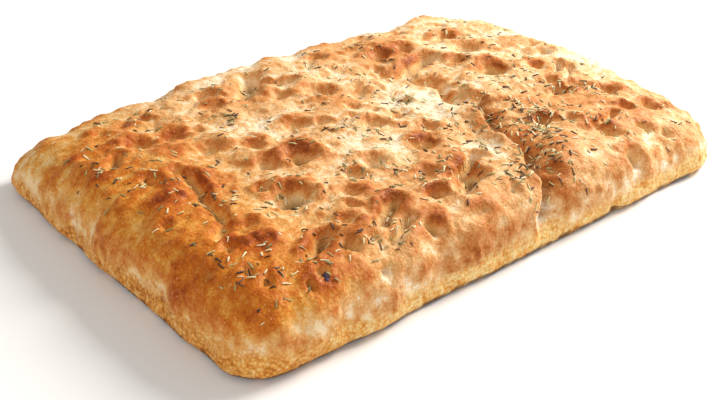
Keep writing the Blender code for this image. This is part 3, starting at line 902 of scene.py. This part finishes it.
SCATTER_X, SCATTER_Y = (-0.47, 0.47), (-0.48, 0.42)  # from side to side, as shares of the slab
KINDS = {"straw": 0.56, "dark": 0.27, "green": 0.17}


def needle_places(rng):
    """Places of the needles in plan: first the clusters, then the rest over the whole crust."""
    for x, y, spread, number in NEEDLE_CLUSTERS:
        for _ in range(round(CLUSTER_SHARE * number)):
            yield MM * rng.gauss(x, spread), MM * rng.gauss(y, spread)
    for _ in range(SCATTERED):
        yield rng.uniform(*SCATTER_X) * LENGTH, rng.uniform(*SCATTER_Y) * WIDTH


needles = {kind: bmesh.new() for kind in KINDS}
for bm in needles.values():
    bm.verts.layers.float.new("tint")
laid = 0
for x, y in needle_places(rng):
    kind = rng.choices(list(KINDS), KINDS.values())[0]
    laid += lay_needle(needles[kind], x, y, rng)
bpy.data.meshes.remove(needle_mesh)
print("needles laid:", laid)

# %% [markdown]
# ## Needle colours
# Dried rosemary fades from grey-green to straw, and the thinnest needles char in the oven. Each
# needle has its own tint, and fibres run through it. The surface is a dry leaf's: dull, with a
# faint waxy light along the ridge.

# %% Colour the needles
NEEDLE_STOPS = {
    "straw": ((0.0, "#F2E6BC"), (0.6, "#D8C88E"), (1.0, "#A89458")),
    "dark": ((0.0, "#6A4420"), (0.6, "#462A12"), (1.0, "#28170A")),
    "green": ((0.0, "#AEA670"), (0.6, "#86824A"), (1.0, "#5C5A30")),
}
FIBRE_SPACING, FIBRE_HEIGHT = 0.0006, 0.0002
FIBRE_CONTRAST = 0.6
WAXY, DULL = 0.4, 0.75  # roughness

for kind, bm in needles.items():
    leaf = bpy.data.materials.new(f"Dried rosemary leaf, {kind}")
    leaf.use_nodes = True
    on_leaf = add_node(leaf, "ShaderNodeTexCoord").outputs["Object"]
    tint = add_node(leaf, "ShaderNodeAttribute", attribute_name="tint").outputs["Fac"]
    fibres = add_node(
        leaf, "ShaderNodeTexNoise", {"Vector": on_leaf, "Scale": 1 / FIBRE_SPACING}
    ).outputs["Fac"]
    uneven = add_node(
        leaf, "ShaderNodeMath", {0: fibres, 1: FIBRE_CONTRAST, 2: tint}, operation="MULTIPLY_ADD"
    ).outputs[0]
    faded = add_node(
        leaf, "ShaderNodeMath", {0: uneven, 1: FIBRE_CONTRAST / 2}, operation="SUBTRACT"
    ).outputs[0]
    shade = add_node(
        leaf, "ShaderNodeValToRGB", {"Fac": faded}, stops=NEEDLE_STOPS[kind]
    ).outputs["Color"]
    ridges = add_node(
        leaf, "ShaderNodeBump", {"Height": fibres, "Distance": FIBRE_HEIGHT}
    ).outputs["Normal"]
    waxy = add_node(
        leaf, "ShaderNodeMapRange", {"Value": fibres, "To Min": WAXY, "To Max": DULL}
    ).outputs["Result"]
    leaf_shader = leaf.node_tree.nodes["Principled BSDF"]
    for socket, value in (("Base Color", shade), ("Normal", ridges), ("Roughness", waxy)):
        leaf.node_tree.links.new(value, leaf_shader.inputs[socket])
    add_object(f"rosemary_{kind}", bm, leaf)
    print(kind, "needles:", len(bpy.data.objects[f"rosemary_{kind}"].data.polygons), "faces")

# %% [markdown]
# ## A purple petal
# One dark purple bit lies near the near corner, perhaps a dried rosemary flower. It is made of
# three crumpled flakes. A petal dries to a thin, papery skin, which looks dull, and is darker
# where it sinks in.

# %% Make the petal
# In millimetres: x, y, radius
PETAL_FLAKES = ((-139, -129, 2.2), (-141, -132, 1.9), (-137, -127, 1.6))
FLAKE_SHAPE = (1.0, 0.8, 0.5)  # length, width and height as shares of the radius
MOST_TURN = 3  # in radians
CRUMPLE, CRUMPLE_SPACING = 0.0008, 0.0016

petal_form = bmesh.new()
for x, y, radius in PETAL_FLAKES:
    move = Matrix.Translation(crust_below(MM * x, MM * y))
    turn = Matrix.Rotation(rng.uniform(0, MOST_TURN), 4, "Z")
    flatten = Matrix.Diagonal((*FLAKE_SHAPE, 1.0))
    bmesh.ops.create_icosphere(
        petal_form, subdivisions=2, radius=MM * radius, matrix=move @ turn @ flatten
    )
flake_points = np.array([v.co for v in petal_form.verts])
crumples = [wave(flake_points, CRUMPLE_SPACING, seed) for seed in (61, 62, 63)]
for vert, crumple in zip(petal_form.verts, CRUMPLE * np.stack(crumples, axis=1)):
    vert.co += Vector(crumple)
print("faces on the petal:", len(petal_form.faces))

# %% Colour the petal
VEIN_SPACING, VEIN_HEIGHT = 0.0008, 0.0003
VEIN_STOPS = ((0.3, "#1E0C26"), (0.7, "#4A2444"))
SMOOTHEST, ROUGHEST = 0.5, 0.85

petal_skin = bpy.data.materials.new("Dried petal, crumpled")
petal_skin.use_nodes = True
on_petal = add_node(petal_skin, "ShaderNodeTexCoord").outputs["Object"]
veins = add_node(
    petal_skin, "ShaderNodeTexNoise", {"Vector": on_petal, "Scale": 1 / VEIN_SPACING}
).outputs["Fac"]
purple = add_node(
    petal_skin, "ShaderNodeValToRGB", {"Fac": veins}, stops=VEIN_STOPS
).outputs["Color"]
raised = add_node(
    petal_skin, "ShaderNodeBump", {"Height": veins, "Distance": VEIN_HEIGHT}
).outputs["Normal"]
papery = add_node(
    petal_skin, "ShaderNodeMapRange", {"Value": veins, "To Min": SMOOTHEST, "To Max": ROUGHEST}
).outputs["Result"]
petal_shader = petal_skin.node_tree.nodes["Principled BSDF"]
for socket, value in (("Base Color", purple), ("Normal", raised), ("Roughness", papery)):
    petal_skin.node_tree.links.new(value, petal_shader.inputs[socket])
petal = add_object("purple_petal", petal_form, petal_skin)
print("petal:", len(petal.data.polygons), "faces")

# %% [markdown]
# ## Floor, light and camera
# The slab lies on matt white board, which gives soft light back and shows no shine. One large
# soft lamp stands past the right end, as a window would. A weak one stands across from it and
# keeps the near sides from going dull, and the pale surroundings light the rest. The camera looks
# down at the near left corner.

# %% Lay the floor
FLOOR_SIZE = 6.0
BOARD_COLOUR, BOARD_ROUGHNESS = "#F4F2EE", 0.9

floor_form = bmesh.new()
bmesh.ops.create_grid(floor_form, x_segments=1, y_segments=1, size=FLOOR_SIZE / 2)
floor_mesh = bpy.data.meshes.new("floor")
floor_form.to_mesh(floor_mesh)
floor_form.free()
floor = bpy.data.objects.new("floor", floor_mesh)
bpy.context.scene.collection.objects.link(floor)
board = bpy.data.materials.new("Matt white board")
board.use_nodes = True
board_shader = board.node_tree.nodes["Principled BSDF"]
board_shader.inputs["Base Color"].default_value = linear(BOARD_COLOUR)
board_shader.inputs["Roughness"].default_value = BOARD_ROUGHNESS
floor_mesh.materials.append(board)
floor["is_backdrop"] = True
print("floor:", FLOOR_SIZE, "m wide")

# %% Set the light
AMBIENT = 0.50
LAMP_COLOUR = (1.0, 0.98, 0.96)
# For each lamp: place, power in watts, size in metres
LAMPS = {
    "window": (Vector((1.1, -0.12, 0.85)), 30.0, 0.6),
    "fill": (Vector((-1.35, -0.65, 0.7)), 6.0, 1.0),
}

scene = bpy.context.scene
scene.view_settings.view_transform = "Standard"
scene.world = bpy.data.worlds.new("Pale studio")
scene.world.use_nodes = True
surroundings = scene.world.node_tree.nodes["Background"]
surroundings.inputs["Color"].default_value = linear("#FFFFFF")
surroundings.inputs["Strength"].default_value = AMBIENT
for name, (stands_at, power, size) in LAMPS.items():
    bulb = bpy.data.lights.new(name, "AREA")
    bulb.energy, bulb.size = power, size
    bulb.color = LAMP_COLOUR
    lamp = bpy.data.objects.new(name, bulb)
    lamp.location = stands_at
    lamp.rotation_euler = stands_at.to_track_quat("Z", "Y").to_euler()
    scene.collection.objects.link(lamp)
print("lamps:", ", ".join(LAMPS))

# %% Set the camera
LENS, SENSOR = 57.67, 36.0
AZIMUTH, ELEVATION, DISTANCE = math.radians(-39.3), math.radians(29.43), 0.70983
TARGET = Vector((-0.05164, -0.05191, 0.021))

view_data = bpy.data.cameras.new("camera")
view_data.lens, view_data.sensor_width = LENS, SENSOR
camera = bpy.data.objects.new("camera", view_data)
backward = Vector((
    math.sin(AZIMUTH) * math.cos(ELEVATION),
    -math.cos(AZIMUTH) * math.cos(ELEVATION),
    math.sin(ELEVATION),
))
camera.location = TARGET + DISTANCE * backward
camera.rotation_euler = backward.to_track_quat("Z", "Y").to_euler()
scene.collection.objects.link(camera)
scene.camera = camera
print("camera at, in metres:", [round(side, 3) for side in camera.location])

# %% [markdown]
# ## The size
# Both boxes, the solid's and the dressed slab's, are printed side by side. The dressed
# slab has to stay inside the solid's box.

# %% Print both boxes and finish
boxes = {"solid": solid_box, "visual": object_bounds()}
for name, box in boxes.items():
    print(name, "box, in mm:", [[round(side / MM, 1) for side in corner] for corner in box])
